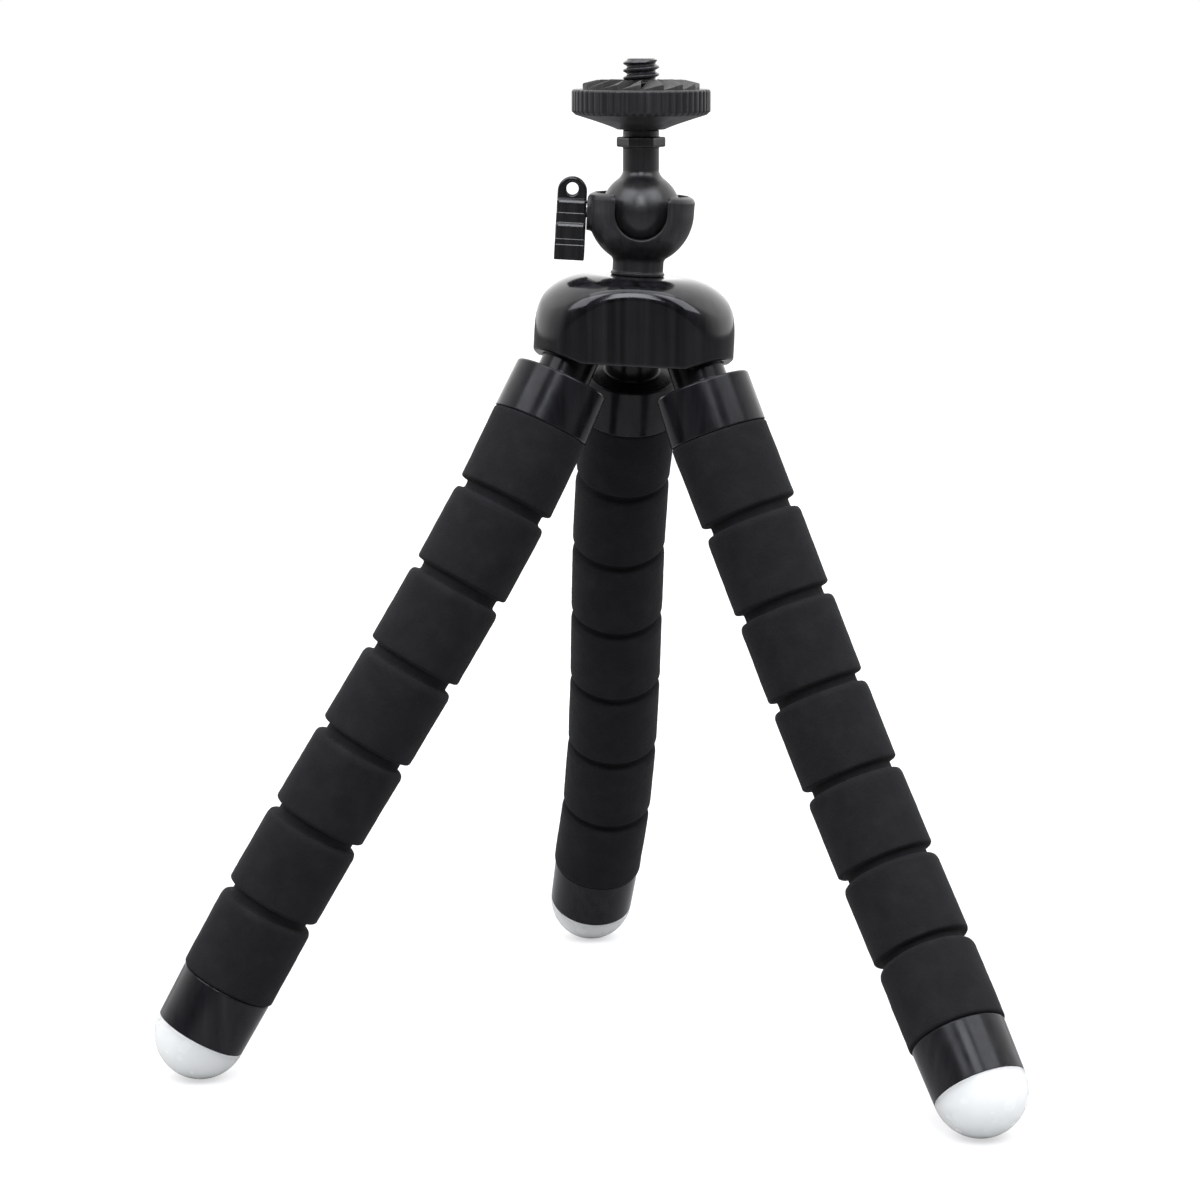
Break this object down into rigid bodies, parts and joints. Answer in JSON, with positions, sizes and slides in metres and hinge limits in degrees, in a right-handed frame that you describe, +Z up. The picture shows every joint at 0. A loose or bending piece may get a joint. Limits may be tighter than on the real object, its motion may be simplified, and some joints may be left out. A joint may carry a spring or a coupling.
{
  "type": "phone tripod",
  "caption": "Small tripod with bendable foam-covered legs, a rounded three-lobed hub, a ball head with a side clamp knob and a ribbed platform with a camera screw.",
  "frame": {"origin": "on the ground under the middle of the box round the standing tripod", "axes": "+Z up along the camera screw, +X to the right and -Y to the front, where the slot of the ball cup opens"},
  "size_m": [0.148, 0.1462, 0.175],
  "materials": {
    "hub_gloss": "gloss",
    "head_plastic": "satin",
    "knob_gloss": "gloss",
    "foam": "matte",
    "milky_tip": "satin",
    "pad_rubber": "matte",
    "black_screw": "satin",
    "screw_steel": "satin",
    "insert_brass": "satin",
    "core_aluminium": "satin"
  },
  "bodies": {
    "hub": {"hub_shell": "hub_gloss", "hub_base": "hub_gloss", "hub_base_screws": "screw_steel", "left_collar": "hub_gloss", "left_core_wire": "core_aluminium", "right_collar": "hub_gloss", "right_core_wire": "core_aluminium", "rear_collar": "hub_gloss", "rear_core_wire": "core_aluminium"},
    "head": {"ball_cup": "head_plastic", "clamp_insert": "insert_brass", "swivel_screw": "screw_steel", "swivel_washer": "screw_steel"},
    "ball": {"ball_stem": "head_plastic", "camera_screw": "black_screw"},
    "wheel": {"lock_wheel": "head_plastic", "platform_pad": "pad_rubber"},
    "knob": {"wing_knob": "knob_gloss", "knob_screw": "screw_steel"},
    "left_leg_1": {"left_foam_1": "foam"},
    "left_leg_2": {"left_foam_2": "foam"},
    "left_leg_3": {"left_foam_3": "foam"},
    "left_leg_4": {"left_foam_4": "foam"},
    "left_leg_5": {"left_foam_5": "foam"},
    "left_leg_6": {"left_foam_6": "foam"},
    "left_leg_7": {"left_foam_7": "foam", "left_foot_cap": "hub_gloss", "left_foot_tip": "milky_tip"},
    "right_leg_1": {"right_foam_1": "foam"},
    "right_leg_2": {"right_foam_2": "foam"},
    "right_leg_3": {"right_foam_3": "foam"},
    "right_leg_4": {"right_foam_4": "foam"},
    "right_leg_5": {"right_foam_5": "foam"},
    "right_leg_6": {"right_foam_6": "foam"},
    "right_leg_7": {"right_foam_7": "foam", "right_foot_cap": "hub_gloss", "right_foot_tip": "milky_tip"},
    "rear_leg_1": {"rear_foam_1": "foam"},
    "rear_leg_2": {"rear_foam_2": "foam"},
    "rear_leg_3": {"rear_foam_3": "foam"},
    "rear_leg_4": {"rear_foam_4": "foam"},
    "rear_leg_5": {"rear_foam_5": "foam"},
    "rear_leg_6": {"rear_foam_6": "foam"},
    "rear_leg_7": {"rear_foam_7": "foam", "rear_foot_cap": "hub_gloss", "rear_foot_tip": "milky_tip"}
  },
  "joints": [
    {"name": "head_swivel", "type": "hinge", "parent": "hub", "child": "head", "pos_m": [0.01014, -0.01183, 0.14877], "axis": [0.0523, 0, 0.9986], "continuous": true},
    {"name": "ball_tilt", "type": "hinge", "parent": "head", "child": "ball", "pos_m": [0.01014, -0.01183, 0.14877], "axis": [1, 0, 0], "range_deg": [-40, 90]},
    {"name": "lock_wheel_turn", "type": "hinge", "parent": "ball", "child": "wheel", "pos_m": [0.01014, -0.01183, 0.14877], "axis": [0, 0, 1], "continuous": true},
    {"name": "clamp_knob_turn", "type": "hinge", "parent": "head", "child": "knob", "pos_m": [0.01014, -0.01183, 0.14877], "axis": [-0.9986, 0, 0.0523], "range_deg": [-180, 360]},
    {"name": "left_leg_bend_1", "type": "hinge", "parent": "hub", "child": "left_leg_1", "pos_m": [-0.00711, -0.02068, 0.11267], "axis": [-0.4226, 0.9063, 0], "range_deg": [-25, 25], "deforming": ["left_foam_1", "left_core_wire"]},
    {"name": "left_leg_bend_2", "type": "hinge", "parent": "left_leg_1", "child": "left_leg_2", "pos_m": [-0.01349, -0.02365, 0.09965], "axis": [0.3118, -0.9502, 0], "range_deg": [-30, 30], "deforming": ["left_foam_2"]},
    {"name": "left_leg_bend_3", "type": "hinge", "parent": "left_leg_2", "child": "left_leg_3", "pos_m": [-0.02113, -0.02616, 0.0857], "axis": [0.2221, -0.975, 0], "range_deg": [-30, 30], "deforming": ["left_foam_3"]},
    {"name": "left_leg_bend_4", "type": "hinge", "parent": "left_leg_3", "child": "left_leg_4", "pos_m": [-0.0292, -0.028, 0.07189], "axis": [-0.1564, 0.9877, 0], "range_deg": [-30, 30], "deforming": ["left_foam_4"]},
    {"name": "left_leg_bend_5", "type": "hinge", "parent": "left_leg_4", "child": "left_leg_5", "pos_m": [-0.03746, -0.02931, 0.05813], "axis": [-0.1161, 0.9932, 0], "range_deg": [-30, 30], "deforming": ["left_foam_5"]},
    {"name": "left_leg_bend_6", "type": "hinge", "parent": "left_leg_5", "child": "left_leg_6", "pos_m": [-0.04571, -0.03027, 0.04434], "axis": [0.1016, -0.9948, 0], "range_deg": [-30, 30], "deforming": ["left_foam_6"]},
    {"name": "left_leg_bend_7", "type": "hinge", "parent": "left_leg_6", "child": "left_leg_7", "pos_m": [-0.05378, -0.0311, 0.03043], "axis": [0.1132, -0.9936, 0], "range_deg": [-30, 30], "deforming": ["left_foam_7"]},
    {"name": "right_leg_bend_1", "type": "hinge", "parent": "hub", "child": "right_leg_1", "pos_m": [0.02352, -0.02068, 0.11106], "axis": [-0.5225, -0.8526, 0], "range_deg": [-25, 25], "deforming": ["right_foam_1", "right_core_wire"]},
    {"name": "right_leg_bend_2", "type": "hinge", "parent": "right_leg_1", "child": "right_leg_2", "pos_m": [0.02906, -0.02408, 0.09721], "axis": [0.5438, 0.8392, 0], "range_deg": [-30, 30], "deforming": ["right_foam_2"]},
    {"name": "right_leg_bend_3", "type": "hinge", "parent": "right_leg_2", "child": "right_leg_3", "pos_m": [0.03473, -0.02775, 0.0826], "axis": [0.5846, 0.8113, 0], "range_deg": [-30, 30], "deforming": ["right_foam_3"]},
    {"name": "right_leg_bend_4", "type": "hinge", "parent": "right_leg_3", "child": "right_leg_4", "pos_m": [0.0404, -0.03184, 0.06809], "axis": [-0.6428, -0.766, 0], "range_deg": [-30, 30], "deforming": ["right_foam_4"]},
    {"name": "right_leg_bend_5", "type": "hinge", "parent": "right_leg_4", "child": "right_leg_5", "pos_m": [0.04616, -0.03667, 0.05386], "axis": [-0.7146, -0.6995, 0], "range_deg": [-30, 30], "deforming": ["right_foam_5"]},
    {"name": "right_leg_bend_6", "type": "hinge", "parent": "right_leg_5", "child": "right_leg_6", "pos_m": [0.05201, -0.04265, 0.0401], "axis": [0.7945, 0.6072, 0], "range_deg": [-30, 30], "deforming": ["right_foam_6"]},
    {"name": "right_leg_bend_7", "type": "hinge", "parent": "right_leg_6", "child": "right_leg_7", "pos_m": [0.05775, -0.05015, 0.02706], "axis": [0.8746, 0.4848, 0], "range_deg": [-30, 30], "deforming": ["right_foam_7"]},
    {"name": "rear_leg_bend_1", "type": "hinge", "parent": "hub", "child": "rear_leg_1", "pos_m": [0.0082, 0.00588, 0.11187], "axis": [0.9848, 0.1736, 0], "range_deg": [-25, 25], "deforming": ["rear_foam_1", "rear_core_wire"]},
    {"name": "rear_leg_bend_2", "type": "hinge", "parent": "rear_leg_1", "child": "rear_leg_2", "pos_m": [0.00696, 0.01292, 0.10006], "axis": [-0.9959, -0.0908, 0], "range_deg": [-30, 30], "deforming": ["rear_foam_2"]},
    {"name": "rear_leg_bend_3", "type": "hinge", "parent": "rear_leg_2", "child": "rear_leg_3", "pos_m": [0.00622, 0.02111, 0.08622], "axis": [-0.9989, -0.0461, 0], "range_deg": [-30, 30], "deforming": ["rear_foam_3"]},
    {"name": "rear_leg_bend_4", "type": "hinge", "parent": "rear_leg_3", "child": "rear_leg_4", "pos_m": [0.00584, 0.02922, 0.07232], "axis": [0.9992, 0.0401, 0], "range_deg": [-30, 30], "deforming": ["rear_foam_4"]},
    {"name": "rear_leg_bend_5", "type": "hinge", "parent": "rear_leg_4", "child": "rear_leg_5", "pos_m": [0.00552, 0.03725, 0.05837], "axis": [0.9973, 0.0729, 0], "range_deg": [-30, 30], "deforming": ["rear_foam_5"]},
    {"name": "rear_leg_bend_6", "type": "hinge", "parent": "rear_leg_5", "child": "rear_leg_6", "pos_m": [0.00494, 0.04518, 0.04437], "axis": [-0.9896, -0.144, 0], "range_deg": [-30, 30], "deforming": ["rear_foam_6"]},
    {"name": "rear_leg_bend_7", "type": "hinge", "parent": "rear_leg_6", "child": "rear_leg_7", "pos_m": [0.0038, 0.053, 0.03034], "axis": [-0.9677, -0.2521, 0], "range_deg": [-30, 30], "deforming": ["rear_foam_7"]}
  ]
}
